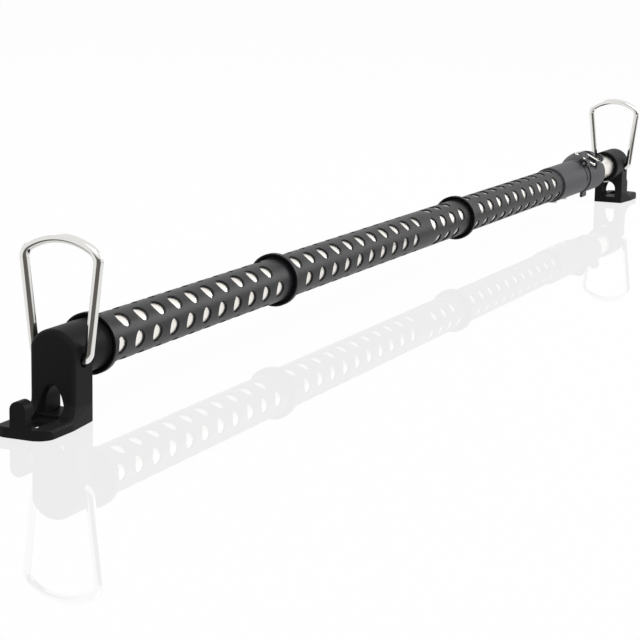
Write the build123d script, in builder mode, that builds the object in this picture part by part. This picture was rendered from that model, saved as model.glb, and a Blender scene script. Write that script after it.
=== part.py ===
"""Telescoping garment bar for a car: perforated grip sleeves on a steel tube, a hook foot and a wire
bail at each end, and a lever lock on the sliding inner tube.

The bar runs along X with its axis AXIS_HEIGHT above the floor. Both feet stand on z = 0, and x = 0 is
half way between them. Millimetres throughout.
"""

import os
from math import acos, cos, degrees, radians, sin

from build123d import *

# Clearances
RUN_FIT = 0.08  # radial gap of a part that turns or slides
SEAT_FIT = 0.05  # radial gap of a part that is pushed home and stays
FREE_GAP = 0.3  # gap between moving parts that never touch

# Steel tubes
AXIS_HEIGHT = 33.0
OUTER_TUBE_DIAMETER = 23.2
OUTER_TUBE_WALL = 1.0
INNER_TUBE_DIAMETER = 19.0
INNER_TUBE_WALL = 1.0
TELESCOPE_TRAVEL = 610.0
INNER_TUBE_SHOWING = 44.0

# Grip sleeves
SLEEVE_DIAMETER = 25.0
FLANGE_DIAMETER = 30.6
FLANGE_RIM = 3.2
FLANGE_DISH = 2.5
FLANGE_LIP = 0.6
FLANGE_CONE = 1.2
SHOULDER_DIAMETER = 26.6
SHOULDER_LENGTH = 2.6
HOLE_DIAMETER = 7.6
HOLE_ROWS = 6
LONG_ROW, SHORT_ROW = 11, 4  # holes in the fuller rows of a long and of the short sleeve
HOLE_MARGINS = 27.2  # bare length of a sleeve, its two ends together
NEAR_SLEEVE_LENGTH, NEAR_FIRST_HOLE, NEAR_TURN = 204.25, 10.75, -8.0
MIDDLE_SLEEVE_LENGTH, MIDDLE_FIRST_HOLE, MIDDLE_TURN = 213.5, 14.0, 52.0
SHORT_SLEEVE_LENGTH, SHORT_FIRST_HOLE, SHORT_TURN = 79.85, 11.75, 25.0
FAR_SLEEVE_LENGTH, FAR_FIRST_HOLE, FAR_TURN = 214.15, 16.65, 85.0

# Lock collar on the outer tube
COLLAR_LENGTH = 67.75
COLLAR_DIAMETER = 27.6
CLAMP_LENGTH = 41.0
CLAMP_DIAMETER = 24.8
COLLAR_LIP = 1.5
COLLAR_EDGE = 0.8
LINER_WALL = 1.0
TUBE_IN_COLLAR = 52.0
SLIT_WIDTH = 2.2
SLIT_FROM_CLAMP = 9.5
SLIT_START, SLIT_STOP = -8.0, 84.0
SPLIT_WIDTH, SPLIT_ANGLE = 1.2, 72.0
HUMP_DIAMETER, HUMP_OFFSET, HUMP_RISE = 18.0, 3.0, 10.8
HUMP_LEAD, HUMP_SHOULDER_AT = 3.5, 9.5  # along the bar, before and after the start of the clamp
HUMP_TOE, HUMP_SHOULDER, HUMP_HEEL = 13.3, 17.3, 17.3  # radii there and at the end of the clamp

# Lever lock, angles measured from the near side (-Y) towards the top
PIVOT_RADIUS, PIVOT_ANGLE = 15.2, 52.0
PIN_DIAMETER = 2.6
PIN_RECESS = 0.6
PIN_CUP_DIAMETER, PIN_CUP_DEPTH = 5.0, 1.6
KNUCKLE_DIAMETER = 5.2
EAR_DIAMETER = 6.8
EAR_THICKNESS = 6.0
LEVER_THICKNESS = 1.9
LEVER_BOTTOM, LEVER_TOP = -66.0, 34.0
LEVER_TAB_LENGTH, LEVER_TAB_WIDTH, LEVER_TAB_THICKNESS = 2.4, 11.0, 2.2
LEVER_END_GAP = 0.5
ARM_WIDTH = 3.5
ARM_ROOT_ANGLE, TONGUE_ROOT_ANGLE = 30.0, 22.0
TAB_TIP_ANGLE, TAB_ROOT_ANGLE = -68.0, -62.0
LINK_WIRE = 2.2
LINK_WIDTH = 19.6
LINK_BEND = 1.6
LINK_STUB = 7.5
LINK_SHIFT = 0.5  # of the wire's middle from the middle of the clamp
LEG_CLEARANCE = 0.7
TONGUE_DIAMETER, TONGUE_WIDTH = 4.0, 10.0
HOOK_RADIUS, HOOK_ANGLE = 16.1, 36.8
CATCH_RADIUS, CATCH_ANGLE = 18.05, 99.57
CATCH_SLOPE = 50.0
CATCH_LIP, CATCH_ROOT = 2.4, 1.4
CATCH_BASE = 9.8
FAR_EAR = 4.0

# End fittings, lengths measured outboard from the bail hinge
BOSS_DIAMETER = 25.6
BOSS_INBOARD = 25.5
SOCKET_FLOOR = 4.0
PANEL_FACE = 9.5
PANEL_WALL = 4.0
COLUMN_BACK = 8.5
COLUMN_WIDTH = 24.0
FOOT_END = 38.5
FOOT_WIDTH = 29.2
FOOT_FULL_AT = 14.0  # outboard of the hinge, where the foot reaches its full width
FOOT_THICKNESS = 5.0
FOOT_SIDE = 3.0  # upright part of the foot's edge
FOOT_CORNER = 8.0
FOOT_BACK_CORNER = 1.5
FLARE_RADIUS = 8.0
WAIST_HEIGHT, WAIST_ROUND = 10.0, 8.0
WINDOW_INNER = (6.0, 13.8)  # half width and height of the arch in the panel's back
WINDOW_OUTER = (7.0, 15.0)  # the same in its face
HOLLOW_HALF, HOLLOW_SPRING, HOLLOW_RISE = 6.2, 12.0, 6.4  # arched hollow behind the panel
CHANNEL_WIDTH, CHANNEL_FLOOR = 14.0, 3.0
HOOK_WIDTH, HOOK_HEIGHT, HOOK_THICKNESS, HOOK_LIP = 8.5, 17.5, 5.0, 2.0
SLOT_WIDTH, SLOT_LENGTH = 9.0, 19.0
PANEL_ROUND = 2.6
FLANGE_SETBACK = 24.0
REDUCER_RECESS = 3.0

# Wire bails
BAIL_WIRE = 4.7
BAIL_DROP = 2.4  # of the hinge below the bar's axis
BAIL_HEIGHT = 54.3  # wire centre line over the bar's axis
BAIL_GAP = 0.15
BAIL_FOOT_HALF = COLUMN_WIDTH / 2 + BAIL_WIRE / 2 + BAIL_GAP
BAIL_CORNER_HALF, BAIL_CORNER_HEIGHT = 20.4, 47.0
BAIL_FOOT_BEND, BAIL_CORNER_BEND = 4.2, 6.5
BAIL_PIN_END = 6.0  # distance of a wire end from the middle of the boss
BAIL_POCKET, BAIL_POCKET_FLOOR = 1.1, 10.6  # relief round a wire where it enters the boss

# Fixing screws
SCREW_DIAMETER, SCREW_HEAD_DIAMETER, SCREW_HEAD_HEIGHT = 3.0, 5.4, 1.7
FITTING_SCREW_FROM_MOUTH = 10.5
COLLAR_SCREW_FROM_START = 14.0
COLLAR_SCREW_SPACING = 26.0

# Guide bush at the hidden end of the inner tube
BUSH_FLANGE, BUSH_PLUG = 4.0, 14.0

# Places along the bar
SLEEVES_LENGTH = NEAR_SLEEVE_LENGTH + MIDDLE_SLEEVE_LENGTH + SHORT_SLEEVE_LENGTH + FAR_SLEEVE_LENGTH
HINGE_SPAN = (
    FLANGE_SETBACK + SLEEVES_LENGTH + COLLAR_LENGTH + CLAMP_LENGTH + INNER_TUBE_SHOWING + BOSS_INBOARD
)
LEFT_HINGE = -HINGE_SPAN / 2
RIGHT_HINGE = HINGE_SPAN / 2
NEAR_START = LEFT_HINGE + FLANGE_SETBACK
MIDDLE_START = NEAR_START + NEAR_SLEEVE_LENGTH
SHORT_START = MIDDLE_START + MIDDLE_SLEEVE_LENGTH
FAR_START = SHORT_START + SHORT_SLEEVE_LENGTH
COLLAR_START = FAR_START + FAR_SLEEVE_LENGTH
CLAMP_START = COLLAR_START + COLLAR_LENGTH
CLAMP_END = CLAMP_START + CLAMP_LENGTH
OUTER_TUBE_END = COLLAR_START + TUBE_IN_COLLAR
INNER_TUBE_START = OUTER_TUBE_END - TELESCOPE_TRAVEL

# Radii that several pieces share
OUTER_TUBE_RADIUS = OUTER_TUBE_DIAMETER / 2
OUTER_TUBE_BORE = OUTER_TUBE_RADIUS - OUTER_TUBE_WALL
INNER_TUBE_RADIUS = INNER_TUBE_DIAMETER / 2
INNER_TUBE_BORE = INNER_TUBE_RADIUS - INNER_TUBE_WALL
SOCKET_RADIUS = OUTER_TUBE_RADIUS + SEAT_FIT
LINER_BORE = INNER_TUBE_RADIUS + RUN_FIT
LINER_RADIUS = LINER_BORE + LINER_WALL
LEVER_INNER = CLAMP_DIAMETER / 2 + FREE_GAP
LEVER_MIDDLE = LEVER_INNER + LEVER_THICKNESS / 2

# The lever's bays along the bar: an arm, a wire leg, the tongue, a wire leg, an arm and an ear
LEVER_START = CLAMP_START + LEVER_END_GAP
LEVER_END = CLAMP_END - LEVER_END_GAP
LINK_CENTRE = (CLAMP_START + CLAMP_END) / 2 + LINK_SHIFT
LEG_BAY = LINK_WIRE / 2 + LEG_CLEARANCE
TONGUE_ENDS = (LINK_CENTRE - TONGUE_WIDTH / 2, LINK_CENTRE + TONGUE_WIDTH / 2)
CATCH_HALF = LINK_WIDTH / 2 - LEG_BAY
LINK_BAY_HALF = LINK_WIDTH / 2 + LEG_BAY
ARM_END = LEVER_START + ARM_WIDTH
FAR_ARM_END = CLAMP_END - FAR_EAR - FREE_GAP
FAR_ARM_START = FAR_ARM_END - ARM_WIDTH

BAR_AXIS = Axis((0, 0, AXIS_HEIGHT), (1, 0, 0))
ALONG_BAR = Plane((0, 0, AXIS_HEIGHT), x_dir=(1, 0, 0), z_dir=(0, -1, 0))


def across(x):
    """Plane square to the bar at x: local x is Y, local y is the height over the bar's axis."""
    return Plane((x, 0, AXIS_HEIGHT), x_dir=(0, 1, 0), z_dir=(1, 0, 0))


def polar(radius, angle):
    """Point on a plane across the bar, from its radius and its angle above the near side."""
    return (-radius * cos(radians(angle)), radius * sin(radians(angle)))


PIVOT = polar(PIVOT_RADIUS, PIVOT_ANGLE)
HOOK = polar(HOOK_RADIUS, HOOK_ANGLE)
CATCH = polar(CATCH_RADIUS, CATCH_ANGLE)


def ring(start, stop, outer, inner):
    """Round tube on the bar's axis."""
    with BuildPart() as tube:
        with BuildSketch(across(start)):
            Circle(outer)
            Circle(inner, mode=Mode.SUBTRACT)
        extrude(amount=stop - start)
    return tube.part


def grip_sleeve(start, length, holes, first_hole, turn, flanged=True, seat=0):
    """Perforated sleeve. Rows alternate between all the holes and one fewer, half a pitch apart."""
    bore = OUTER_TUBE_RADIUS + SEAT_FIT
    outer = SLEEVE_DIAMETER / 2
    stop = start + length + seat
    rim, shoulder = FLANGE_DIAMETER / 2, SHOULDER_DIAMETER / 2
    dish = BOSS_DIAMETER / 2 + FREE_GAP
    pitch = (length - HOLE_MARGINS) / (holes - 1)
    with BuildPart() as sleeve:
        with BuildSketch(ALONG_BAR):
            with BuildLine():
                if flanged:
                    floor = start + FLANGE_DISH
                    cone = start + FLANGE_RIM
                    step = cone + FLANGE_CONE
                    face = Polyline((stop, outer), (stop, bore), (floor, bore), (floor, dish))
                    flare = RadiusArc(face @ 1, (start, rim - FLANGE_LIP), FLANGE_DISH)
                    Polyline(
                        flare @ 1,
                        (start, rim),
                        (cone, rim),
                        (step, shoulder),
                        (step + SHOULDER_LENGTH, shoulder),
                        (step + SHOULDER_LENGTH, outer),
                        (stop, outer),
                    )
                else:
                    Polyline((start, bore), (start, outer), (stop, outer), (stop, bore), close=True)
            make_face()
        revolve(axis=BAR_AXIS)
        for row in range(HOLE_ROWS):
            odd = row % 2
            places = [start + first_hole + (column + odd / 2) * pitch for column in range(holes - odd)]
            tilt = 90 - (turn + row * 360 / HOLE_ROWS)
            with Locations([Location((x, 0, AXIS_HEIGHT), (tilt, 0, 0)) for x in places]):
                Cylinder(
                    HOLE_DIAMETER / 2,
                    SLEEVE_DIAMETER,
                    align=(Align.CENTER, Align.CENTER, Align.MIN),
                    mode=Mode.SUBTRACT,
                )
    return sleeve.part


def end_fitting(hinge, out):
    """Moulded end: tube boss, arched column with a window, foot with a slot and an upright hook.

    out is -1 where outboard is -X and +1 where it is +X.
    """
    side = Plane((hinge, 0, 0), x_dir=(out, 0, 0), z_dir=(0, -out, 0))
    plan = Plane((hinge, 0, 0), x_dir=(out, 0, 0), z_dir=(0, 0, 1))
    boss = BOSS_DIAMETER / 2
    flat = COLUMN_WIDTH / 2
    foot = FOOT_WIDTH / 2
    top = AXIS_HEIGHT + boss
    root = FOOT_END - HOOK_THICKNESS
    flare = FOOT_THICKNESS + FLARE_RADIUS

    def front(u):
        return Plane((hinge + out * u, 0, 0), x_dir=(0, out, 0), z_dir=(out, 0, 0))

    with BuildPart() as fitting:
        # Column and foot with their concave flare, cut to an arch in end view and to a rounded plan
        with BuildSketch(side):
            with BuildLine():
                Polyline(
                    (PANEL_FACE, flare), (PANEL_FACE, top), (-COLUMN_BACK, top), (-COLUMN_BACK, 0),
                    (FOOT_END, 0), (FOOT_END, FOOT_THICKNESS), (PANEL_FACE + FLARE_RADIUS, FOOT_THICKNESS),
                )
                CenterArc((PANEL_FACE + FLARE_RADIUS, flare), FLARE_RADIUS, 180, 90)
            make_face()
        extrude(amount=foot, both=True)
        with BuildSketch(front(-COLUMN_BACK)) as arch:
            with BuildLine():
                spring = degrees(acos(flat / boss))
                crown = CenterArc((0, AXIS_HEIGHT), boss, spring, 180 - 2 * spring)
                Polyline(
                    crown @ 1, (-flat, WAIST_HEIGHT), (-foot, FOOT_SIDE), (-foot, 0),
                    (foot, 0), (foot, FOOT_SIDE), (flat, WAIST_HEIGHT), crown @ 0,
                )
            make_face()
            fillet(arch.vertices().filter_by_position(Axis.Y, WAIST_HEIGHT, WAIST_HEIGHT), WAIST_ROUND)
        extrude(amount=COLUMN_BACK + FOOT_END, mode=Mode.INTERSECT)
        with BuildSketch(plan) as outline:
            with BuildLine():
                Polyline(
                    (-COLUMN_BACK, -flat), (FOOT_FULL_AT, -foot), (FOOT_END, -foot),
                    (FOOT_END, foot), (FOOT_FULL_AT, foot), (-COLUMN_BACK, flat), close=True,
                )
            make_face()
            fillet(outline.vertices().group_by(Axis.X)[0], radius=FOOT_BACK_CORNER)
            fillet(outline.vertices().group_by(Axis.X)[-1], radius=FOOT_CORNER)
        extrude(amount=top, mode=Mode.INTERSECT)
        panel = hinge + out * PANEL_FACE
        rim = fitting.edges().filter_by(
            lambda e: out * (e.center().X - panel) > -SEAT_FIT and e.center().Z > FOOT_THICKNESS + SEAT_FIT
            and (abs(e.center().Y) > SEAT_FIT or e.center().Z > AXIS_HEIGHT)
        )
        fillet(rim, radius=PANEL_ROUND)
        with BuildSketch(front(-BOSS_INBOARD)):
            with Locations((0, AXIS_HEIGHT)):
                Circle(boss)
        extrude(amount=BOSS_INBOARD - COLUMN_BACK)

        # Hollow column, open inboard, and the arched window that widens outboard to the foot's channel
        with BuildSketch(front(-COLUMN_BACK)):
            with BuildLine():
                arc = EllipticalCenterArc((0, HOLLOW_SPRING), HOLLOW_HALF, HOLLOW_RISE, arc_size=180)
                Polyline(arc @ 1, (-HOLLOW_HALF, FOOT_THICKNESS), (HOLLOW_HALF, FOOT_THICKNESS), arc @ 0)
            make_face()
        extrude(amount=COLUMN_BACK + PANEL_FACE - PANEL_WALL, mode=Mode.SUBTRACT)
        for u, (half, height) in ((PANEL_FACE - PANEL_WALL, WINDOW_INNER), (PANEL_FACE, WINDOW_OUTER)):
            with BuildSketch(front(u)):
                with BuildLine():
                    arc = EllipticalCenterArc((0, FOOT_THICKNESS), half, height, arc_size=180)
                    Line(arc @ 1, arc @ 0)
                make_face()
        loft(mode=Mode.SUBTRACT)
        with BuildSketch(plan.offset(CHANNEL_FLOOR)):
            with Locations(((PANEL_FACE + root) / 2, 0)):
                Rectangle(root - PANEL_FACE, CHANNEL_WIDTH)
        extrude(amount=flare - CHANNEL_FLOOR, mode=Mode.SUBTRACT)

        # Upright hook on the outboard edge and the slot under its lip
        with BuildSketch(side):
            with BuildLine():
                Polyline(
                    (FOOT_END, 0), (FOOT_END, HOOK_HEIGHT), (root - HOOK_LIP, HOOK_HEIGHT),
                    (root - HOOK_LIP, HOOK_HEIGHT - 2 * HOOK_LIP), (root, HOOK_HEIGHT - 4 * HOOK_LIP),
                    (root, 0), close=True,
                )
            make_face()
        hook = extrude(amount=HOOK_WIDTH / 2, both=True, mode=Mode.PRIVATE)
        with BuildSketch(front(root - HOOK_LIP)):
            with Locations((0, (HOOK_HEIGHT - HOOK_WIDTH / 2) / 2)):
                Rectangle(HOOK_WIDTH, HOOK_HEIGHT - HOOK_WIDTH / 2)
            with Locations((0, HOOK_HEIGHT - HOOK_WIDTH / 2)):
                Circle(HOOK_WIDTH / 2)
        rounded = extrude(amount=HOOK_THICKNESS + HOOK_LIP, mode=Mode.PRIVATE)
        add(hook & rounded)
        with BuildSketch(plan):
            with Locations((root - SLOT_LENGTH / 2, 0)):
                Rectangle(SLOT_LENGTH, SLOT_WIDTH)
        extrude(amount=FOOT_THICKNESS, mode=Mode.SUBTRACT)

        # Tube socket, bail holes with a relief round the wire, and the screw hole under the boss
        with BuildSketch(front(-BOSS_INBOARD)):
            with Locations((0, AXIS_HEIGHT)):
                Circle(SOCKET_RADIUS)
        extrude(amount=BOSS_INBOARD - SOCKET_FLOOR, mode=Mode.SUBTRACT)
        hole = BAIL_WIRE / 2 + RUN_FIT
        for radius, floor in ((hole, BAIL_PIN_END - FREE_GAP), (hole + BAIL_POCKET, BAIL_POCKET_FLOOR)):
            for turn in (-1, 1):
                mouth = (hinge, turn * foot, AXIS_HEIGHT - BAIL_DROP)
                with BuildSketch(Plane(mouth, x_dir=(1, 0, 0), z_dir=(0, -turn, 0))):
                    Circle(radius)
                extrude(amount=foot - floor, mode=Mode.SUBTRACT)
        screw_x = hinge - out * (BOSS_INBOARD - FITTING_SCREW_FROM_MOUTH)
        add(screw_hole(screw_x), mode=Mode.SUBTRACT)
    return fitting.part


def bail(hinge):
    """Bent wire loop whose ends turn in to the holes of an end fitting."""
    with BuildPart() as loop:
        with BuildLine(across(hinge)) as path:
            far, near = (
                Polyline(
                    (turn * BAIL_PIN_END, -BAIL_DROP), (turn * BAIL_FOOT_HALF, -BAIL_DROP),
                    (turn * BAIL_CORNER_HALF, BAIL_CORNER_HEIGHT),
                )
                for turn in (1, -1)
            )
            ThreePointArc(far @ 1, (0, BAIL_HEIGHT), near @ 1)
            bends = path.vertices().filter_by(lambda v: abs(v.Y) > BAIL_PIN_END + BAIL_WIRE)
            fillet(bends.filter_by(lambda v: v.Z < AXIS_HEIGHT), radius=BAIL_FOOT_BEND)
            fillet(
                path.vertices().filter_by(lambda v: abs(v.Y) > BAIL_CORNER_HALF - SEAT_FIT),
                radius=BAIL_CORNER_BEND,
            )
        with BuildSketch(
            Plane((hinge, BAIL_PIN_END, AXIS_HEIGHT - BAIL_DROP), x_dir=(1, 0, 0), z_dir=(0, 1, 0))
        ):
            Circle(BAIL_WIRE / 2)
        sweep(path=path.wire())
    return loop.part


def screw_below(x, seat_radius, tip_radius):
    """Pan-head screw driven up into the bar from below, between two radii from the bar's axis."""
    seat = AXIS_HEIGHT - seat_radius
    with BuildPart() as screw:
        with BuildSketch(Plane((x, 0, seat - SCREW_HEAD_HEIGHT), x_dir=(1, 0, 0), z_dir=(0, 0, 1))):
            Circle(SCREW_HEAD_DIAMETER / 2)
        extrude(amount=SCREW_HEAD_HEIGHT)
        fillet(screw.edges().group_by(Axis.Z)[0], radius=SCREW_HEAD_HEIGHT / 2)
        with BuildSketch(Plane((x, 0, seat), x_dir=(1, 0, 0), z_dir=(0, 0, 1))):
            Circle(SCREW_DIAMETER / 2)
        extrude(amount=seat_radius - tip_radius)
    return screw.part


def screw_hole(x):
    """Space of a screw hole from below, up to the bar's axis."""
    with BuildPart() as hole:
        with BuildSketch(Plane((x, 0, 0), x_dir=(1, 0, 0), z_dir=(0, 0, 1))):
            Circle(SCREW_DIAMETER / 2 + SEAT_FIT)
        extrude(amount=AXIS_HEIGHT)
    return hole.part


def rod(start, stop, radius, centre=(0, 0)):
    """Round rod parallel to the bar."""
    with BuildPart() as bar:
        with BuildSketch(across(start)):
            with Locations(centre):
                Circle(radius)
        extrude(amount=stop - start)
    return bar.part


def lug(start, stop, centre, radius, root, root_radius):
    """Rounded lug between two circles, parallel to the bar."""
    with BuildPart() as block:
        with BuildSketch(across(start)):
            with Locations(centre):
                Circle(radius)
            with Locations(root):
                Circle(root_radius)
            make_hull()
        extrude(amount=stop - start)
    return block.part


def sector(start, stop, inner, outer, low, high):
    """Part of a ring round the bar, between two angles above the near side."""
    middle = (low + high) / 2
    with BuildPart() as block:
        with BuildSketch(across(start)):
            with BuildLine():
                rise = ThreePointArc(polar(outer, low), polar(outer, middle), polar(outer, high))
                fall = ThreePointArc(polar(inner, high), polar(inner, middle), polar(inner, low))
                Line(rise @ 1, fall @ 0)
                Line(fall @ 1, rise @ 0)
            make_face()
        extrude(amount=stop - start)
    return block.part


def catch_hump():
    """Domed hump over the clamp, with a bay in which the wire lies."""
    side = [
        (CLAMP_START - HUMP_LEAD, HUMP_TOE),
        (CLAMP_START + HUMP_SHOULDER_AT, HUMP_SHOULDER),
        (CLAMP_END, HUMP_HEEL),
    ]
    bay = (LINK_CENTRE - LINK_BAY_HALF, LINK_CENTRE + LINK_BAY_HALF)
    with BuildPart() as hump:
        with BuildSketch(ALONG_BAR):
            with BuildLine():
                crest = ThreePointArc(*side)
                Polyline(crest @ 1, (side[2][0], 0), (side[0][0], 0), crest @ 0)
            make_face()
        revolve(axis=Axis((0, 0, AXIS_HEIGHT), (1, 0, 0)))
        add(rod(side[0][0], CLAMP_END, HUMP_DIAMETER / 2, (HUMP_OFFSET, HUMP_RISE)), mode=Mode.INTERSECT)
        with BuildSketch(across(bay[0])):
            edge = CATCH[0] + LINK_WIRE / 2 + FREE_GAP
            with Locations((edge - HUMP_DIAMETER / 2, CATCH_RADIUS)):
                Rectangle(HUMP_DIAMETER, 2 * CATCH_RADIUS)
            Circle(CLAMP_DIAMETER / 2, mode=Mode.SUBTRACT)
        extrude(amount=bay[1] - bay[0], mode=Mode.SUBTRACT)
    return hump.part


def wire_catch():
    """Lug on the hump whose sloping face holds the wire's cross bar."""
    seat = LINK_WIRE / 2 + 2 * SEAT_FIT
    run, rise = cos(radians(CATCH_SLOPE)), sin(radians(CATCH_SLOPE))
    face = (CATCH[0] - seat * rise, CATCH[1] - seat * run)
    with BuildPart() as catch:
        with BuildSketch(across(LINK_CENTRE - CATCH_HALF)):
            with BuildLine():
                Polyline(
                    (face[0] - CATCH_LIP * run, face[1] + CATCH_LIP * rise),
                    (face[0] + CATCH_ROOT * run, face[1] - CATCH_ROOT * rise),
                    (2 * HUMP_OFFSET, face[1] - CATCH_ROOT),
                    (3 * HUMP_OFFSET, CATCH_BASE),
                    (-2 * HUMP_OFFSET, CATCH_BASE),
                    (-HUMP_OFFSET, CATCH[1] - 2 * CATCH_ROOT),
                    close=True,
                )
            make_face()
        extrude(amount=2 * CATCH_HALF)
    return catch.part


def lock_collar():
    """Collar on the outer tube with a split clamp, pivot ears, a hump and the wire catch."""
    near_ear = CLAMP_START - EAR_THICKNESS
    slit = CLAMP_START - SLIT_FROM_CLAMP
    ear_root = polar(PIVOT_RADIUS - EAR_DIAMETER, PIVOT_ANGLE)
    slit_radii = (LINER_BORE, CATCH_RADIUS + HUMP_OFFSET)
    gap = degrees(SPLIT_WIDTH / (COLLAR_DIAMETER / 2))
    with BuildPart() as collar:
        add(rod(COLLAR_START, CLAMP_START, COLLAR_DIAMETER / 2))
        chamfer(collar.edges().group_by(Axis.X)[0], length=COLLAR_EDGE)
        add(rod(CLAMP_START, CLAMP_END, CLAMP_DIAMETER / 2))
        for start, stop in ((near_ear, CLAMP_START), (CLAMP_END - FAR_EAR, CLAMP_END)):
            add(lug(start, stop, PIVOT, EAR_DIAMETER / 2, ear_root, EAR_DIAMETER / 2))
        add(catch_hump())
        add(wire_catch())
        for space in (
            rod(COLLAR_START, OUTER_TUBE_END + SEAT_FIT, SOCKET_RADIUS),
            rod(OUTER_TUBE_END, CLAMP_END - COLLAR_LIP, LINER_RADIUS + SEAT_FIT),
            rod(CLAMP_END - COLLAR_LIP, CLAMP_END, LINER_BORE + FREE_GAP),
            rod(near_ear, CLAMP_END, PIN_DIAMETER / 2 + SEAT_FIT, PIVOT),
            rod(near_ear, near_ear + PIN_CUP_DEPTH, PIN_CUP_DIAMETER / 2, PIVOT),
            sector(slit, slit + SLIT_WIDTH, *slit_radii, SLIT_START, SLIT_STOP),
            sector(slit, CLAMP_END, *slit_radii, SPLIT_ANGLE - gap / 2, SPLIT_ANGLE + gap / 2),
            *(screw_hole(x) for x in COLLAR_SCREWS),
        ):
            add(space, mode=Mode.SUBTRACT)
    return collar.part


def lock_lever():
    """Curved lever that wraps the clamp, with two pivot arms, a tongue for the wire and a finger tab."""
    outer = LEVER_INNER + LEVER_THICKNESS
    half = LEVER_THICKNESS / 2
    tab_ends = (LEVER_START, LEVER_START + LEVER_TAB_WIDTH)
    with BuildPart() as lever:
        add(sector(LEVER_START, LEVER_END, LEVER_INNER, outer, LEVER_BOTTOM, LEVER_TOP))
        for ends in ((LEVER_START, ARM_END), (FAR_ARM_START, FAR_ARM_END)):
            add(lug(*ends, PIVOT, KNUCKLE_DIAMETER / 2, polar(LEVER_MIDDLE, ARM_ROOT_ANGLE), half))
        add(lug(*TONGUE_ENDS, HOOK, TONGUE_DIAMETER / 2, polar(LEVER_MIDDLE, TONGUE_ROOT_ANGLE), half))
        tab_tip = polar(outer + LEVER_TAB_LENGTH, TAB_TIP_ANGLE)
        add(lug(*tab_ends, tab_tip, LEVER_TAB_THICKNESS / 2, polar(LEVER_MIDDLE, TAB_ROOT_ANGLE), half))
        for radius, centre in (
            (LEVER_INNER, (0, 0)),
            (PIN_DIAMETER / 2 + RUN_FIT, PIVOT),
            (LINK_WIRE / 2 + RUN_FIT, HOOK),
        ):
            add(rod(LEVER_START, LEVER_END, radius, centre), mode=Mode.SUBTRACT)
    return lever.part


def wire_link():
    """U-shaped wire from the lever's tongue over the catch, its ends turned in along the hinge."""
    reach = Vector(0, CATCH[0] - HOOK[0], CATCH[1] - HOOK[1])
    half = LINK_WIDTH / 2
    hinge = (LINK_CENTRE, HOOK[0], AXIS_HEIGHT + HOOK[1])
    flat = Plane(hinge, x_dir=(1, 0, 0), z_dir=Vector(1, 0, 0).cross(reach))
    with BuildPart() as link:
        with BuildLine(flat) as path:
            FilletPolyline(
                (half - LINK_STUB, 0), (half, 0), (half, reach.length),
                (-half, reach.length), (-half, 0), (LINK_STUB - half, 0), radius=LINK_BEND,
            )
        with BuildSketch(Plane(path.wire() @ 0, z_dir=path.wire() % 0)):
            Circle(LINK_WIRE / 2)
        sweep(path=path.wire())
    return link.part


def guide_bush():
    """Plug in the hidden end of the inner tube, whose flange runs in the outer tube and is the end stop."""
    with BuildPart() as bush:
        with BuildSketch(across(INNER_TUBE_START - BUSH_FLANGE)):
            Circle(OUTER_TUBE_BORE - RUN_FIT)
        extrude(amount=BUSH_FLANGE)
        with BuildSketch(across(INNER_TUBE_START)):
            Circle(INNER_TUBE_BORE - RUN_FIT)
        extrude(amount=BUSH_PLUG)
        chamfer(bush.edges().group_by(Axis.X)[-1], length=COLLAR_EDGE)
    return bush.part


def drilled_tube(start, stop, outer, inner, screws):
    """Steel tube with a screw hole in its underside at each place in screws."""
    with BuildPart() as tube:
        add(ring(start, stop, outer, inner))
        for x in screws:
            add(screw_hole(x), mode=Mode.SUBTRACT)
    return tube.part


LEFT_SCREW = LEFT_HINGE + BOSS_INBOARD - FITTING_SCREW_FROM_MOUTH
RIGHT_SCREW = RIGHT_HINGE - BOSS_INBOARD + FITTING_SCREW_FROM_MOUTH
COLLAR_SCREWS = [COLLAR_START + COLLAR_SCREW_FROM_START + n * COLLAR_SCREW_SPACING for n in range(2)]
LEVER_PIN_ENDS = (
    (CLAMP_START - EAR_THICKNESS + PIN_RECESS, ARM_END - FREE_GAP),
    (FAR_ARM_START + FREE_GAP, CLAMP_END - PIN_RECESS),
)

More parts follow.
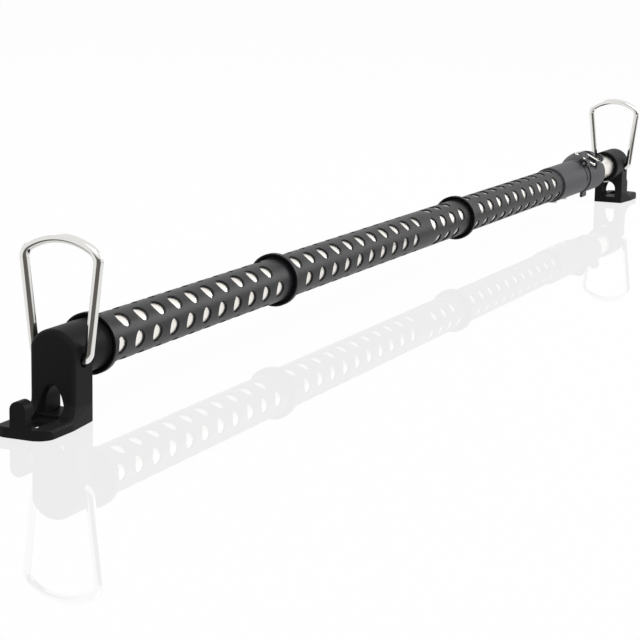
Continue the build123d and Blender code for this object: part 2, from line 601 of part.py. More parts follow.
NODES = {
    "outer_tube": drilled_tube(
        LEFT_HINGE + SOCKET_FLOOR, OUTER_TUBE_END, OUTER_TUBE_RADIUS, OUTER_TUBE_BORE,
        [LEFT_SCREW, *COLLAR_SCREWS],
    ),
    "near_sleeve": grip_sleeve(
        NEAR_START, NEAR_SLEEVE_LENGTH, LONG_ROW, NEAR_FIRST_HOLE, NEAR_TURN, seat=FLANGE_DISH
    ),
    "middle_sleeve": grip_sleeve(
        MIDDLE_START, MIDDLE_SLEEVE_LENGTH, LONG_ROW, MIDDLE_FIRST_HOLE, MIDDLE_TURN
    ),
    "short_sleeve": grip_sleeve(
        SHORT_START, SHORT_SLEEVE_LENGTH, SHORT_ROW, SHORT_FIRST_HOLE, SHORT_TURN,
        flanged=False, seat=FLANGE_DISH,
    ),
    "far_sleeve": grip_sleeve(FAR_START, FAR_SLEEVE_LENGTH, LONG_ROW, FAR_FIRST_HOLE, FAR_TURN),
    "left_end_fitting": end_fitting(LEFT_HINGE, -1),
    "left_fitting_screw": screw_below(LEFT_SCREW, BOSS_DIAMETER / 2, OUTER_TUBE_BORE),
    "left_bail": bail(LEFT_HINGE),
    "lock_collar": lock_collar(),
    "clamp_liner": ring(
        OUTER_TUBE_END + SEAT_FIT, CLAMP_END - COLLAR_LIP - SEAT_FIT, LINER_RADIUS, LINER_BORE
    ),
    "collar_screws": Compound(
        children=[screw_below(x, COLLAR_DIAMETER / 2, OUTER_TUBE_BORE) for x in COLLAR_SCREWS]
    ),
    "lever_pins": Compound(children=[rod(*ends, PIN_DIAMETER / 2, PIVOT) for ends in LEVER_PIN_ENDS]),
    "lock_lever": lock_lever(),
    "wire_link": wire_link(),
    "guide_bush": guide_bush(),
    "inner_tube": drilled_tube(
        INNER_TUBE_START, RIGHT_HINGE - SOCKET_FLOOR, INNER_TUBE_RADIUS, INNER_TUBE_BORE, [RIGHT_SCREW]
    ),
    "tube_reducer": drilled_tube(
        RIGHT_HINGE - BOSS_INBOARD + REDUCER_RECESS, RIGHT_HINGE - SOCKET_FLOOR,
        OUTER_TUBE_RADIUS, INNER_TUBE_RADIUS + SEAT_FIT, [RIGHT_SCREW],
    ),
    "right_end_fitting": end_fitting(RIGHT_HINGE, 1),
    "right_fitting_screw": screw_below(RIGHT_SCREW, BOSS_DIAMETER / 2, INNER_TUBE_BORE),
    "right_bail": bail(RIGHT_HINGE),
}

os.makedirs("parts", exist_ok=True)
for name, solid in NODES.items():
    solid.label = name
    export_step(solid, f"parts/{name}.step")
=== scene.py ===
"""Telescoping garment bar for a car: finishes, grip sleeves, screws, table, soft light and camera.

The bar runs along X and stands on z = 0, with its lever lock at the +X end. Sizes are metres, and
millimetres where a name ends in _mm.
"""

import logging
import math
from dataclasses import dataclass, field
from enum import Enum

import bpy
from mathutils import Euler, Matrix, Vector


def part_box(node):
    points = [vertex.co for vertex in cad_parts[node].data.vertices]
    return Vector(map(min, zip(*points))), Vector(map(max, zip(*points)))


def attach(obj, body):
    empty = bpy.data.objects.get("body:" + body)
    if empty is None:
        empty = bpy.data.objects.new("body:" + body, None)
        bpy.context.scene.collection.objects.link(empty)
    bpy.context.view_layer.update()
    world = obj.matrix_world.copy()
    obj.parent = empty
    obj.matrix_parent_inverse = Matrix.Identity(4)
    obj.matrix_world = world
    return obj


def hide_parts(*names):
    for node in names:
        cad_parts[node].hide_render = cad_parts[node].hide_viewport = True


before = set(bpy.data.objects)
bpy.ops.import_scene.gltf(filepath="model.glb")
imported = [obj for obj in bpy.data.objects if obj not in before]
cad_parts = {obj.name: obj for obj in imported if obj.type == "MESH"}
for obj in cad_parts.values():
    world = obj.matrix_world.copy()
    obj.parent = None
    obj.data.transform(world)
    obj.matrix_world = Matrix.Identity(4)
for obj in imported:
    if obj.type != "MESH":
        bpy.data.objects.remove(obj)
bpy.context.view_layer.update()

LOG = logging.getLogger("garment_bar")
MM = 0.001
Triple = tuple[float, float, float]
# Sockets of a colour Mix node, whose names are shared with its hidden sockets
MIX_FIRST, MIX_SECOND, MIX_RESULT = 6, 7, 2


def linear(hex_colour: str) -> tuple[float, float, float, float]:
    """Turn an sRGB hex colour into linear RGBA.

    Args:
        hex_colour: Colour as "#rrggbb".

    Returns:
        Linear red, green, blue and an alpha of one.
    """
    channels = [int(hex_colour[i : i + 2], 16) / 255 for i in (1, 3, 5)]
    red, green, blue = (
        c / 12.92 if c <= 0.04045 else ((c + 0.055) / 1.055) ** 2.4 for c in channels
    )
    return (red, green, blue, 1.0)


def add_node(
    tree: bpy.types.NodeTree,
    kind: str,
    settings: dict[str, object] | None = None,
    values: dict[str | int, object] | None = None,
    links: dict[str | int, bpy.types.NodeSocket] | None = None,
) -> bpy.types.Node:
    """Add a node with its settings, socket values and incoming links.

    Args:
        tree: Node tree that gets the node.
        kind: Blender's name of the node type.
        settings: Attributes of the node.
        values: Values of unlinked input sockets, by socket name or number.
        links: Output sockets to link, by input socket name or number.

    Returns:
        The new node.
    """
    node = tree.nodes.new(kind)
    for key, value in (settings or {}).items():
        setattr(node, key, value)
    for key, value in (values or {}).items():
        node.inputs[key].default_value = value
    for key, socket in (links or {}).items():
        tree.links.new(socket, node.inputs[key])
    return node


def mix_tones(
    tree: bpy.types.NodeTree, share: bpy.types.NodeSocket, first: str, second: str
) -> bpy.types.NodeSocket:
    """Mix two hex colours.

    Args:
        tree: Node tree that gets the mix.
        share: Share of the second colour, from 0 to 1.
        first: Colour where the share is 0.
        second: Colour where the share is 1.

    Returns:
        The mixed colour.
    """
    return add_node(
        tree,
        "ShaderNodeMix",
        settings={"data_type": "RGBA"},
        values={MIX_FIRST: linear(first), MIX_SECOND: linear(second)},
        links={"Factor": share},
    ).outputs[MIX_RESULT]


def combine(
    tree: bpy.types.NodeTree,
    operation: str,
    first: bpy.types.NodeSocket,
    second: bpy.types.NodeSocket,
) -> bpy.types.NodeSocket:
    """Work out one value from two.

    Args:
        tree: Node tree that gets the node.
        operation: Blender's name of the operation.
        first: First value.
        second: Second value.

    Returns:
        The result.
    """
    return add_node(
        tree, "ShaderNodeMath", settings={"operation": operation}, links={0: first, 1: second}
    ).outputs["Value"]


@dataclass(frozen=True)
class Finish:
    """Surface of two close tones in patches, which its gloss follows, with a finer relief."""

    name: str
    colour: str
    patch_colour: str
    roughness: float
    roughness_spread: float = 0.1
    patch_mm: Triple = (30.0, 30.0, 30.0)
    grain_mm: Triple = (0.7, 0.7, 0.7)
    grain_depth_mm: float = 0.02
    grain_strength: float = 0.6
    noise_detail: float = 2.0

    def uniform(self) -> dict[str, float]:
        """Shader values that are the same all over the surface."""
        return {}

    def edges(
        self, tree: bpy.types.NodeTree, tone: bpy.types.NodeSocket, relief: bpy.types.Node
    ) -> bpy.types.NodeSocket:
        """Colour with the edges, which are as the rest unless a finish says otherwise."""
        return tone

    def build(self) -> bpy.types.Material:
        """Build the node material.

        Returns:
            The material.
        """
        material = bpy.data.materials.new(self.name)
        material.use_nodes = True
        tree = material.node_tree
        shader = tree.nodes["Principled BSDF"]
        for socket, value in self.uniform().items():
            shader.inputs[socket].default_value = value
        place = add_node(tree, "ShaderNodeTexCoord").outputs["Object"]
        patterns = []
        for size_mm in (self.patch_mm, self.grain_mm):
            scale = tuple(1 / (side * MM) for side in size_mm)
            spread = add_node(
                tree, "ShaderNodeMapping", values={"Scale": scale}, links={"Vector": place}
            )
            patterns.append(
                add_node(
                    tree,
                    "ShaderNodeTexNoise",
                    values={"Scale": 1.0, "Detail": self.noise_detail},
                    links={"Vector": spread.outputs["Vector"]},
                ).outputs["Fac"]
            )
        patch, grain = patterns
        tone = mix_tones(tree, patch, self.colour, self.patch_colour)
        gloss = add_node(
            tree,
            "ShaderNodeMapRange",
            values={
                "To Min": self.roughness - self.roughness_spread / 2,
                "To Max": self.roughness + self.roughness_spread / 2,
            },
            links={"Value": patch},
        )
        relief = add_node(
            tree,
            "ShaderNodeBump",
            values={"Strength": self.grain_strength, "Distance": self.grain_depth_mm * MM},
            links={"Height": grain},
        )
        tree.links.new(self.edges(tree, tone, relief), shader.inputs["Base Color"])
        tree.links.new(gloss.outputs["Result"], shader.inputs["Roughness"])
        tree.links.new(relief.outputs["Normal"], shader.inputs["Normal"])
        return material


@dataclass(frozen=True)
class MouldedPlastic(Finish):
    """Plastic from a spark-eroded mould: satin and finely pebbled, with edges a shade paler, partly
    from wear and partly as a painted highlight.
    """

    # Paler colour of the edges: partly wear, partly a painted highlight along rims and hole edges
    edge_wear_and_highlight_colour: str = "#3a3a3d"
    edge_mm: float = 0.4
    # How far the rounded normal leans where the paler edge (wear and painted highlight) starts, and
    # where it is full
    edge_from: float = 0.02
    edge_to: float = 0.25
    edge_samples: int = 4
    ior: float = 1.5
    specular: float = 0.5

    def uniform(self) -> dict[str, float]:
        """Refractive index and strength of the reflection, the same all over."""
        return {"IOR": self.ior, "Specular IOR Level": self.specular}

    def edges(
        self, tree: bpy.types.NodeTree, tone: bpy.types.NodeSocket, relief: bpy.types.Node
    ) -> bpy.types.NodeSocket:
        """Round the moulded edges a little and paint them paler, partly as wear and partly as a
        painted highlight.

        Args:
            tree: Node tree of the material.
            tone: Colour of the faces.
            relief: Bump node that the rounding is put under.

        Returns:
            Colour of the faces and edges.
        """
        rounded = add_node(
            tree,
            "ShaderNodeBevel",
            settings={"samples": self.edge_samples},
            values={"Radius": self.edge_mm * MM},
        ).outputs["Normal"]
        tree.links.new(rounded, relief.inputs["Normal"])
        flat = add_node(tree, "ShaderNodeNewGeometry").outputs["Normal"]
        along = add_node(
            tree,
            "ShaderNodeVectorMath",
            settings={"operation": "DOT_PRODUCT"},
            links={0: rounded, 1: flat},
        )
        # Share of the paler edge colour, partly wear and partly a painted highlight, where the
        # rounded normal leans
        worn_and_highlit = add_node(
            tree,
            "ShaderNodeMapRange",
            values={"From Min": 1 - self.edge_from, "From Max": 1 - self.edge_to},
            links={"Value": along.outputs["Value"]},
        )
        return add_node(
            tree,
            "ShaderNodeMix",
            settings={"data_type": "RGBA"},
            values={MIX_SECOND: linear(self.edge_wear_and_highlight_colour)},
            links={"Factor": worn_and_highlit.outputs["Result"], MIX_FIRST: tone},
        ).outputs[MIX_RESULT]


@dataclass(frozen=True)
class DrawnSteel(Finish):
    """Bare or plated steel: bright, with the lines or mottle of its making and duller smears."""

    def uniform(self) -> dict[str, float]:
        """Bare metal all over."""
        return {"Metallic": 1.0}


class Finishes(Enum):
    """Finishes of the bar's pieces."""

    # Each plastic's edge colour is paler: partly wear, partly a painted highlight along its edges
    # Moulded polypropylene: soft grey sheen on black, the pebble just fine enough to read as satin
    SLEEVE = MouldedPlastic(
        "moulded_polypropylene", "#18181b", "#202023", 0.42, edge_wear_and_highlight_colour="#353538", specular=0.22
    )
    # Moulded ABS: a paler, more even satin black than the sleeves
    LOCK = MouldedPlastic(
        "moulded_abs", "#313135", "#38383c", 0.48, edge_wear_and_highlight_colour="#4b4b4f", specular=0.27
    )
    # Moulded nylon: deep black with a weak sheen that shows only along rounded forms
    FITTING = MouldedPlastic(
        "moulded_nylon", "#1b1b1c", "#212122", 0.45, edge_wear_and_highlight_colour="#2d2d2f", specular=0.04
    )
    # Moulded acetal: waxy natural white
    LINER = MouldedPlastic("moulded_acetal", "#d8d5cc", "#cfccc2", 0.4, edge_wear_and_highlight_colour="#dedbd3")
    # Drawn and satin-plated steel tube: warm white metal with fine lines along the bar
    TUBE = DrawnSteel(
        "drawn_steel_tube",
        "#fdfaf5",
        "#f2ede6",
        0.3,
        patch_mm=(60.0, 4.0, 4.0),
        grain_mm=(40.0, 0.5, 0.5),
        grain_depth_mm=0.002,
    )
    # Polished stainless wire: a clear mirror, broken only by faint smears of handling
    BAIL = DrawnSteel(
        "polished_stainless_wire",
        "#e6e5e3",
        "#dddcd9",
        0.08,
        roughness_spread=0.05,
        patch_mm=(9.0, 9.0, 9.0),
        grain_mm=(3.0, 3.0, 3.0),
        grain_depth_mm=0.004,
    )
    # Bright spring wire: drawn, not polished, so its reflections run soft along it
    LINK = DrawnSteel(
        "spring_steel_wire",
        "#dcdad6",
        "#cdcac5",
        0.2,
        patch_mm=(6.0, 6.0, 6.0),
        grain_mm=(0.4, 4.0, 4.0),
        grain_depth_mm=0.003,
    )
    # Zinc plate: pale grey, a little mottled and yellowish
    ZINC = DrawnSteel(
        "zinc_plated_steel",
        "#cbccca",
        "#b9b8ae",
        0.32,
        patch_mm=(1.5, 1.5, 1.5),
        grain_mm=(0.3, 0.3, 0.3),
        grain_depth_mm=0.01,
    )


class Side(Enum):
    """End of the bar, with the body that its fitting moves with."""

    LEFT = "bar"
    RIGHT = "inner"


@dataclass
class PanHeadScrew:
    """Self-tapping pan-head screw with a cross recess, driven up from under the bar."""

    head_mm: float = 5.4
    head_height_mm: float = 1.7
    head_round_mm: float = 0.8
    shank_mm: float = 3.0
    point_mm: float = 2.0
    point_share: float = 0.35
    recess_span_mm: float = 2.9
    recess_width_mm: float = 0.75
    recess_depth_mm: float = 1.0
    recess_floor_share: float = 0.55
    vertices: int = 40
    round_segments: int = 5
    smooth_deg: float = 35.0
    level_limit: float = 0.99

    def select_faces(self, piece: bpy.types.Object, up: int) -> None:
        """Select the level faces of a piece in edit mode that look one way.

        Args:
            piece: The piece.
            up: 1 for the faces that look up, -1 for those that look down.
        """
        bpy.ops.mesh.select_mode(type="FACE")
        bpy.ops.mesh.select_all(action="DESELECT")
        bpy.ops.object.mode_set(mode="OBJECT")
        for face in piece.data.polygons:
            face.select = face.normal.z * up > self.level_limit
        bpy.ops.object.mode_set(mode="EDIT")

    def cross_cutter(self, foot: Vector, turn: float) -> bpy.types.Object:
        """Model one tapered blade of the driver's cross, to be cut out of the head.

        Args:
            foot: Middle of the head's lower face.
            turn: Angle of the blade about the screw's axis.

        Returns:
            The blade.
        """
        bpy.ops.object.select_all(action="DESELECT")
        bpy.ops.mesh.primitive_cube_add(size=1.0, location=foot)
        blade = bpy.context.object
        depth = self.recess_depth_mm * MM
        blade.dimensions = (self.recess_span_mm * MM, self.recess_width_mm * MM, 2 * depth)
        blade.rotation_euler.z = turn
        bpy.ops.object.transform_apply(location=True, rotation=True, scale=True)
        bpy.ops.object.mode_set(mode="EDIT")
        self.select_faces(blade, 1)
        bpy.ops.transform.resize(
            value=(self.recess_floor_share, self.recess_floor_share, 1.0),
            center_override=foot + Vector((0, 0, depth)),
        )
        bpy.ops.object.mode_set(mode="OBJECT")
        return blade

    def model(self, name: str, foot: Vector, tip: float) -> bpy.types.Object:
        """Model the screw with its head down.

        Args:
            name: Name of the piece.
            foot: Middle of the head's lower face.
            tip: Height of the point.

        Returns:
            The screw, at the origin with its place in its mesh.
        """
        head = self.head_height_mm * MM
        bpy.ops.object.select_all(action="DESELECT")
        bpy.ops.mesh.primitive_cylinder_add(
            vertices=self.vertices,
            radius=self.head_mm * MM / 2,
            depth=head,
            location=foot + Vector((0, 0, head / 2)),
        )
        screw = bpy.context.object
        screw.name = screw.data.name = name
        bpy.ops.object.transform_apply(location=True)
        bpy.ops.object.mode_set(mode="EDIT")
        self.select_faces(screw, -1)
        bpy.ops.mesh.bevel(
            offset=self.head_round_mm * MM, segments=self.round_segments, affect="EDGES"
        )
        self.select_faces(screw, 1)
        bpy.ops.mesh.inset(thickness=(self.head_mm - self.shank_mm) * MM / 2)
        point = self.point_mm * MM
        for length in (tip - foot.z - head - point, point):
            bpy.ops.mesh.extrude_region_move(TRANSFORM_OT_translate={"value": (0, 0, length)})
        bpy.ops.transform.resize(
            value=(self.point_share, self.point_share, 1.0),
            center_override=Vector((foot.x, foot.y, tip)),
        )
        bpy.ops.object.mode_set(mode="OBJECT")
        for turn in (0, math.pi / 2):
            blade = self.cross_cutter(foot, turn)
            bpy.context.view_layer.objects.active = screw
            cut = screw.modifiers.new("cross", "BOOLEAN")
            cut.object = blade
            bpy.ops.object.modifier_apply(modifier=cut.name)
            bpy.data.meshes.remove(blade.data)
        bpy.ops.object.select_all(action="DESELECT")
        screw.select_set(True)
        bpy.ops.object.shade_smooth_by_angle(angle=math.radians(self.smooth_deg))
        return screw


@dataclass
class GripSleeve:
    """Perforated grip sleeve: the CAD node's sleeve, with its holes opened to their full width.

    Rows of holes alternate between all the holes and one fewer, half a pitch apart. The first row
    is turned up from the bar's front.
    """

    node: str
    holes: int
    first_hole_mm: float
    pitch_mm: float
    turn_deg: float
    hole_mm: float = 9.3
    rows: int = 6
    axis_mm: float = 33.0
    cut_from_mm: float = 10.5
    cut_to_mm: float = 14.0
    cut_vertices: int = 32
    merge_mm: float = 0.001
    smooth_deg: float = 30.0
    # How far a face may lean sideways and still count as turned on the bar's axis
    turned_limit: float = 0.35

    def cutter(self, start: float) -> bpy.types.Object:
        """Model one round cutter and copy it to every hole.

        Args:
            start: Where the sleeve starts along the bar.

        Returns:
            All the cutters as one object.
        """
        bpy.ops.object.select_all(action="DESELECT")
        bpy.ops.mesh.primitive_cylinder_add(
            vertices=self.cut_vertices,
            radius=self.hole_mm * MM / 2,
            depth=(self.cut_to_mm - self.cut_from_mm) * MM,
            location=(0, 0, (self.cut_from_mm + self.cut_to_mm) * MM / 2),
        )
        bpy.ops.object.transform_apply(location=True)
        model = bpy.context.object
        for row in range(self.rows):
            odd = row % 2
            tilt = Matrix.Rotation(math.radians(90 - self.turn_deg - row * 360 / self.rows), 4, "X")
            for column in range(self.holes - odd):
                along = start + (self.first_hole_mm + (column + odd / 2) * self.pitch_mm) * MM
                copy = model.copy()
                copy.data = model.data.copy()
                copy.data.transform(Matrix.Translation((along, 0, self.axis_mm * MM)) @ tilt)
                bpy.context.scene.collection.objects.link(copy)
                copy.select_set(True)
                bpy.context.view_layer.objects.active = copy
        model.select_set(False)
        bpy.data.meshes.remove(model.data)
        bpy.ops.object.join()
        return bpy.context.object

    def model(self) -> bpy.types.Object:
        """Copy the moulded sleeve and cut its holes.

        Returns:
            The sleeve, at the origin with its place in its mesh.
        """
        low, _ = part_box(self.node)
        cutter = self.cutter(low[0])
        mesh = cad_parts[self.node].data.copy()
        sleeve = bpy.data.objects.new(f"{self.node}_grip", mesh)
        mesh.name = sleeve.name
        bpy.context.scene.collection.objects.link(sleeve)
        bpy.ops.object.select_all(action="DESELECT")
        sleeve.select_set(True)
        bpy.context.view_layer.objects.active = sleeve
        bpy.ops.object.mode_set(mode="EDIT")
        bpy.ops.mesh.select_all(action="SELECT")
        bpy.ops.mesh.remove_doubles(threshold=self.merge_mm * MM)
        bpy.ops.object.mode_set(mode="OBJECT")
        cut = sleeve.modifiers.new("holes", "BOOLEAN")
        cut.object = cutter
        cut.solver = "MANIFOLD"
        bpy.ops.object.modifier_apply(modifier=cut.name)
        bpy.data.meshes.remove(cutter.data)
        bpy.ops.object.shade_smooth_by_angle(angle=math.radians(self.smooth_deg))
        self.round_off(mesh)
        return sleeve

    def round_off(self, mesh: bpy.types.Mesh) -> None:
        """Shade what was turned on the bar's axis as truly round, and leave the walls of the holes.

        Args:
            mesh: The sleeve's mesh, which gets its own normals.
        """
        centre = Vector((0, 0, self.axis_mm * MM))
        normals = []
        for face in mesh.polygons:
            for loop in face.loop_indices:
                soft = mesh.corner_normals[loop].vector
                away = mesh.vertices[mesh.loops[loop].vertex_index].co - centre
                away.x = 0
                away.normalize()
                turned = away * face.normal.dot(away) + Vector((face.normal.x, 0, 0))
                is_turned = (face.normal - turned).length < self.turned_limit
                normals.append(turned.normalized() if is_turned else soft.copy())
        mesh.normals_split_custom_set(normals)


@dataclass
class SubAssembly:
    """Pieces of the bar that are made together, with the finish of each CAD node that is shown."""

    materials: dict[Finishes, bpy.types.Material]
    finishes: dict[str, Finishes] = field(default_factory=dict)

    def build(self) -> None:
        """Model the new pieces, of which a plain sub-assembly has none."""

    def place(
        self, piece: bpy.types.Object, node: str, body: str, finish: Finishes, slot: str
    ) -> None:
        """Let a modelled piece stand for a CAD node.

        Args:
            piece: The modelled piece.
            node: CAD node that it replaces.
            body: Body that it moves with.
            finish: Its finish.
            slot: Material slot of the record; not used.
        """
        piece.data.materials.clear()
        piece.data.materials.append(self.materials[finish])
        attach(piece, body)
        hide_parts(node)
        LOG.info("%s stands for %s in %s", piece.name, node, finish.value.name)

    def dress(self) -> None:
        """Give each CAD node that is shown its finish."""
        for node, finish in self.finishes.items():
            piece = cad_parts[node]
            piece.data.materials.clear()
            piece.data.materials.append(self.materials[finish])
            LOG.info("%s in %s", node, finish.value.name)


@dataclass
class GripBar(SubAssembly):
    """Outer tube with the perforated grip sleeves on it."""

    finishes: dict[str, Finishes] = field(default_factory=lambda: {"outer_tube": Finishes.TUBE})
    sleeves: tuple[GripSleeve, ...] = (
        GripSleeve("near_sleeve", holes=11, first_hole_mm=11.1, pitch_mm=17.705, turn_deg=-8.0),
        GripSleeve("middle_sleeve", holes=11, first_hole_mm=14.0, pitch_mm=18.63, turn_deg=52.0),
        GripSleeve("short_sleeve", holes=4, first_hole_mm=11.75, pitch_mm=17.55, turn_deg=25.0),
        GripSleeve("far_sleeve", holes=11, first_hole_mm=16.65, pitch_mm=18.695, turn_deg=85.0),
    )

    def build(self) -> None:
        """Model the sleeves."""
        body = Side.LEFT.value
        for sleeve in self.sleeves:
            self.place(sleeve.model(), sleeve.node, body, Finishes.SLEEVE, "sleeve_plastic")


@dataclass
class Telescope(SubAssembly):
    """Inner tube with its guide bush and the reducer in its fitting."""

    finishes: dict[str, Finishes] = field(
        default_factory=lambda: {
            "guide_bush": Finishes.LINER,
            "inner_tube": Finishes.TUBE,
            "tube_reducer": Finishes.FITTING,
        }
    )


@dataclass
class EndFitting(SubAssembly):
    """Hook foot with its wire bail and the screw under its boss."""

    side: Side = Side.LEFT
    screw: PanHeadScrew = field(default_factory=PanHeadScrew)

    def build(self) -> None:
        """Model the screw under the boss, and give the fitting and its bail their finishes."""
        name = self.side.name.lower()
        low, high = (Vector(corner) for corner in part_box(f"{name}_fitting_screw"))
        foot = Vector(((low.x + high.x) / 2, (low.y + high.y) / 2, low.z))
        screw = self.screw.model(f"{name}_boss_screw", foot, high.z)
        self.place(screw, f"{name}_fitting_screw", self.side.value, Finishes.ZINC, "zinc_steel")
        self.finishes = {f"{name}_end_fitting": Finishes.FITTING, f"{name}_bail": Finishes.BAIL}


@dataclass
class LeverLock(SubAssembly):
    """Split clamp on the inner tube with its lever, wire link, pins and screws."""

    screw: PanHeadScrew = field(default_factory=PanHeadScrew)
    finishes: dict[str, Finishes] = field(
        default_factory=lambda: {
            "lock_collar": Finishes.LOCK,
            "clamp_liner": Finishes.LINER,
            "lever_pins": Finishes.ZINC,
            "lock_lever": Finishes.LOCK,
            "wire_link": Finishes.LINK,
        }
    )

    def build(self) -> None:
        """Model one collar screw and copy it for the other."""
        low, high = (Vector(corner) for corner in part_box("collar_screws"))
        edge = self.screw.head_mm * MM / 2
        foot = Vector((low.x + edge, (low.y + high.y) / 2, low.z))
        first = self.screw.model("collar_screw_1", foot, high.z)
        second = first.copy()
        second.data = first.data.copy()
        second.name = second.data.name = "collar_screw_2"
        second.data.transform(Matrix.Translation((high.x - low.x - 2 * edge, 0, 0)))
        bpy.context.scene.collection.objects.link(second)
        for screw in (first, second):
            self.place(screw, "collar_screws", Side.LEFT.value, Finishes.ZINC, "zinc_steel")


@dataclass
class PhotoCamera:
    """Long lens at the height of a table, looking down the bar from its hook end."""

    place: Triple = (-1.2423, -0.4840, 0.2285)
    heading_deg: float = 24.144
    tilt_deg: float = -10.994
    roll_deg: float = 1.022
    lens_mm: float = 112.47
    sensor_mm: float = 36.0

    def build(self) -> None:
        """Make the camera and use it for the scene."""
        data = bpy.data.cameras.new("photo_camera")
        data.lens = self.lens_mm
        data.sensor_width = self.sensor_mm
        camera = bpy.data.objects.new("photo_camera", data)
        bpy.context.scene.collection.objects.link(camera)
        tilt, heading = math.radians(90 + self.tilt_deg), math.radians(self.heading_deg - 90)
        turn = Euler((tilt, 0, heading)).to_matrix()
        roll = Matrix.Rotation(math.radians(self.roll_deg), 3, "Z")
        camera.matrix_world = Matrix.Translation(self.place) @ (turn @ roll).to_4x4()
        bpy.context.scene.camera = camera


@dataclass
class SoftBox:
    """Square soft box that faces a point of the bar."""

    name: str
    place: Triple
    aim: Triple
    size: float
    watts: float

    def build(self) -> None:
        """Hang the lamp."""
        data = bpy.data.lights.new(self.name, "AREA")
        data.size = self.size
        data.energy = self.watts
        lamp = bpy.data.objects.new(self.name, data)
        bpy.context.scene.collection.objects.link(lamp)
        lamp.location = self.place
        towards = Vector(self.aim) - Vector(self.place)
        lamp.rotation_euler = towards.to_track_quat("-Z", "Y").to_euler()


@dataclass(frozen=True)
class DarkZone:
    """Part of the studio that is dark in reflections, as where the room beyond the lights shows.

    Each edge names an axis, and runs from where the zone starts to where it is fully dark.
    """

    edges: tuple[tuple[str, float, float], ...]

    def build(self, tree: bpy.types.NodeTree, place: bpy.types.NodeSocket) -> bpy.types.NodeSocket:
        """Add the zone to the node tree of the table or the surround.

        Args:
            tree: Node tree to add to.
            place: The place on the table, or the direction into the surround.

        Returns:
            How dark the zone is, from 0 to 1.
        """
        along = add_node(tree, "ShaderNodeSeparateXYZ", links={"Vector": place}).outputs
        dark = None
        for axis, start, stop in self.edges:
            inside = add_node(
                tree,
                "ShaderNodeMapRange",
                settings={"interpolation_type": "SMOOTHSTEP"},
                values={"From Min": start, "From Max": stop},
                links={"Value": along[axis]},
            ).outputs["Result"]
            dark = inside if dark is None else combine(tree, "MULTIPLY", dark, inside)
        return dark


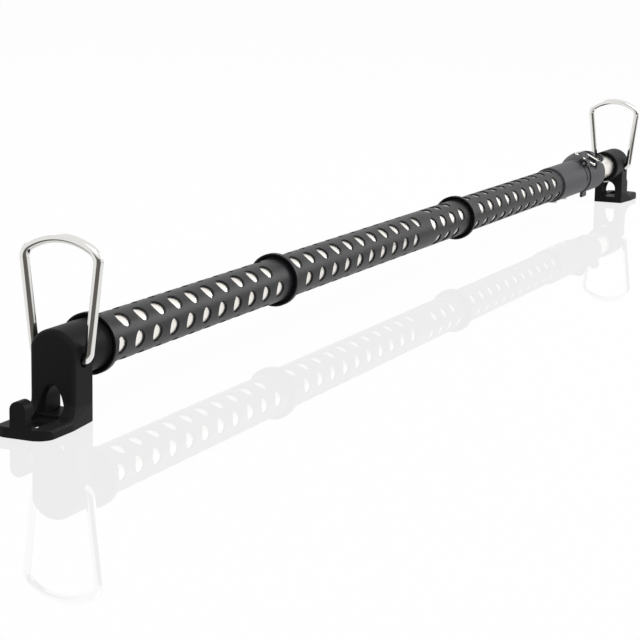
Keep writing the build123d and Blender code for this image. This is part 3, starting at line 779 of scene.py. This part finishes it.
@dataclass
class Studio:
    """White gloss table, white surround and soft boxes, with zones that are dark in reflections."""

    floor_size: float = 12.0
    floor_gap: float = 0.0002
    floor_colour: str = "#f2f2f2"
    white: str = "#ffffff"
    beyond_colour: str = "#6c6965"
    left_zone: DarkZone = DarkZone((("X", -0.49, -0.53), ("Y", 0.14, 0.08)))
    front_zone: DarkZone = DarkZone((("X", 0.1, 0.2), ("X", 0.58, 0.5), ("Y", -0.08, -0.12)))
    room_zone: DarkZone = DarkZone((("X", 0.05, -0.2), ("Y", 0.3, 0.15), ("Z", 0.35, 0.2)))
    mirror: float = 0.15
    mirror_roughness: float = 0.02
    glow: float = 0.96
    surround_strength: float = 0.55
    lamps: tuple[SoftBox, ...] = (
        SoftBox("key_box", place=(-1.4, -0.9, 2.0), aim=(-0.2, 0, 0), size=1.4, watts=18),
        SoftBox("far_box", place=(0.85, -0.8, 0.55), aim=(0.42, 0, 0.03), size=0.6, watts=6),
        SoftBox("back_box", place=(0.4, 1.8, 1.6), aim=(0, 0, 0), size=1.4, watts=8),
    )

    def floor_material(self) -> bpy.types.Material:
        """White gloss table top: white to the camera, with a soft shadow and a faint mirror image.

        Returns:
            The material.
        """
        material = bpy.data.materials.new("white_gloss_table")
        material.use_nodes = True
        tree = material.node_tree
        tree.nodes.remove(tree.nodes["Principled BSDF"])
        path = add_node(tree, "ShaderNodeLightPath").outputs
        place = add_node(tree, "ShaderNodeTexCoord").outputs["Object"]
        zones = [zone.build(tree, place) for zone in (self.left_zone, self.front_zone)]
        dark = combine(tree, "MAXIMUM", *zones)
        tone = mix_tones(tree, dark, self.white, self.beyond_colour)
        reflected = add_node(tree, "ShaderNodeEmission", links={"Color": tone})
        matte = add_node(tree, "ShaderNodeBsdfDiffuse", values={"Color": linear(self.floor_colour)})
        glow = add_node(tree, "ShaderNodeEmission", values={"Color": linear(self.white)})
        gloss = add_node(
            tree,
            "ShaderNodeBsdfGlossy",
            values={"Color": linear(self.white), "Roughness": self.mirror_roughness},
        )
        lit = add_node(
            tree,
            "ShaderNodeMixShader",
            values={0: self.glow},
            links={1: matte.outputs[0], 2: glow.outputs[0]},
        )
        shown = add_node(
            tree,
            "ShaderNodeMixShader",
            values={0: self.mirror},
            links={1: lit.outputs[0], 2: gloss.outputs[0]},
        )
        bare = add_node(
            tree,
            "ShaderNodeMixShader",
            links={0: path["Is Camera Ray"], 1: matte.outputs[0], 2: shown.outputs[0]},
        )
        mirrored = combine(tree, "MAXIMUM", path["Is Glossy Ray"], path["Is Transmission Ray"])
        surface = add_node(
            tree,
            "ShaderNodeMixShader",
            links={0: mirrored, 1: bare.outputs[0], 2: reflected.outputs[0]},
        )
        tree.links.new(surface.outputs[0], tree.nodes["Material Output"].inputs["Surface"])
        return material

    def build_floor(self) -> None:
        """Lay the table under the feet."""
        bpy.ops.object.select_all(action="DESELECT")
        bpy.ops.mesh.primitive_plane_add(size=self.floor_size, location=(0, 0, -self.floor_gap))
        floor = bpy.context.object
        floor.name = "table"
        floor.data.materials.append(self.floor_material())

    def build_surround(self) -> None:
        """Put up the surround: white to the camera, a soft light, a dark room in reflections."""
        world = bpy.data.worlds.new("white_surround")
        bpy.context.scene.world = world
        world.use_nodes = True
        tree = world.node_tree
        path = add_node(tree, "ShaderNodeLightPath").outputs
        light = add_node(
            tree,
            "ShaderNodeBackground",
            values={"Color": linear(self.white), "Strength": self.surround_strength},
        )
        facing = add_node(tree, "ShaderNodeTexCoord").outputs["Generated"]
        dark = combine(tree, "MULTIPLY", self.room_zone.build(tree, facing), path["Is Glossy Ray"])
        tone = mix_tones(tree, dark, self.white, self.beyond_colour)
        shown = add_node(tree, "ShaderNodeBackground", links={"Color": tone})
        seen = path["Is Camera Ray"]
        for ray in ("Is Glossy Ray", "Is Transmission Ray"):
            seen = combine(tree, "MAXIMUM", seen, path[ray])
        mixed = add_node(
            tree, "ShaderNodeMixShader", links={0: seen, 1: light.outputs[0], 2: shown.outputs[0]}
        )
        tree.links.new(mixed.outputs[0], tree.nodes["World Output"].inputs["Surface"])

    def build(self) -> None:
        """Set up the table, the surround and the lamps."""
        self.build_floor()
        self.build_surround()
        for lamp in self.lamps:
            lamp.build()


def main() -> None:
    """Build the classes in order and report each piece."""
    logging.basicConfig(level=logging.INFO, format="%(name)s %(message)s")
    PhotoCamera().build()
    materials = {finish: finish.value.build() for finish in Finishes}
    for assembly in (
        GripBar(materials),
        EndFitting(materials, side=Side.LEFT),
        EndFitting(materials, side=Side.RIGHT),
        LeverLock(materials),
        Telescope(materials),
    ):
        assembly.build()
        assembly.dress()
    Studio().build()
    bpy.context.scene.view_settings.view_transform = "Standard"


if __name__ == "__main__":
    main()
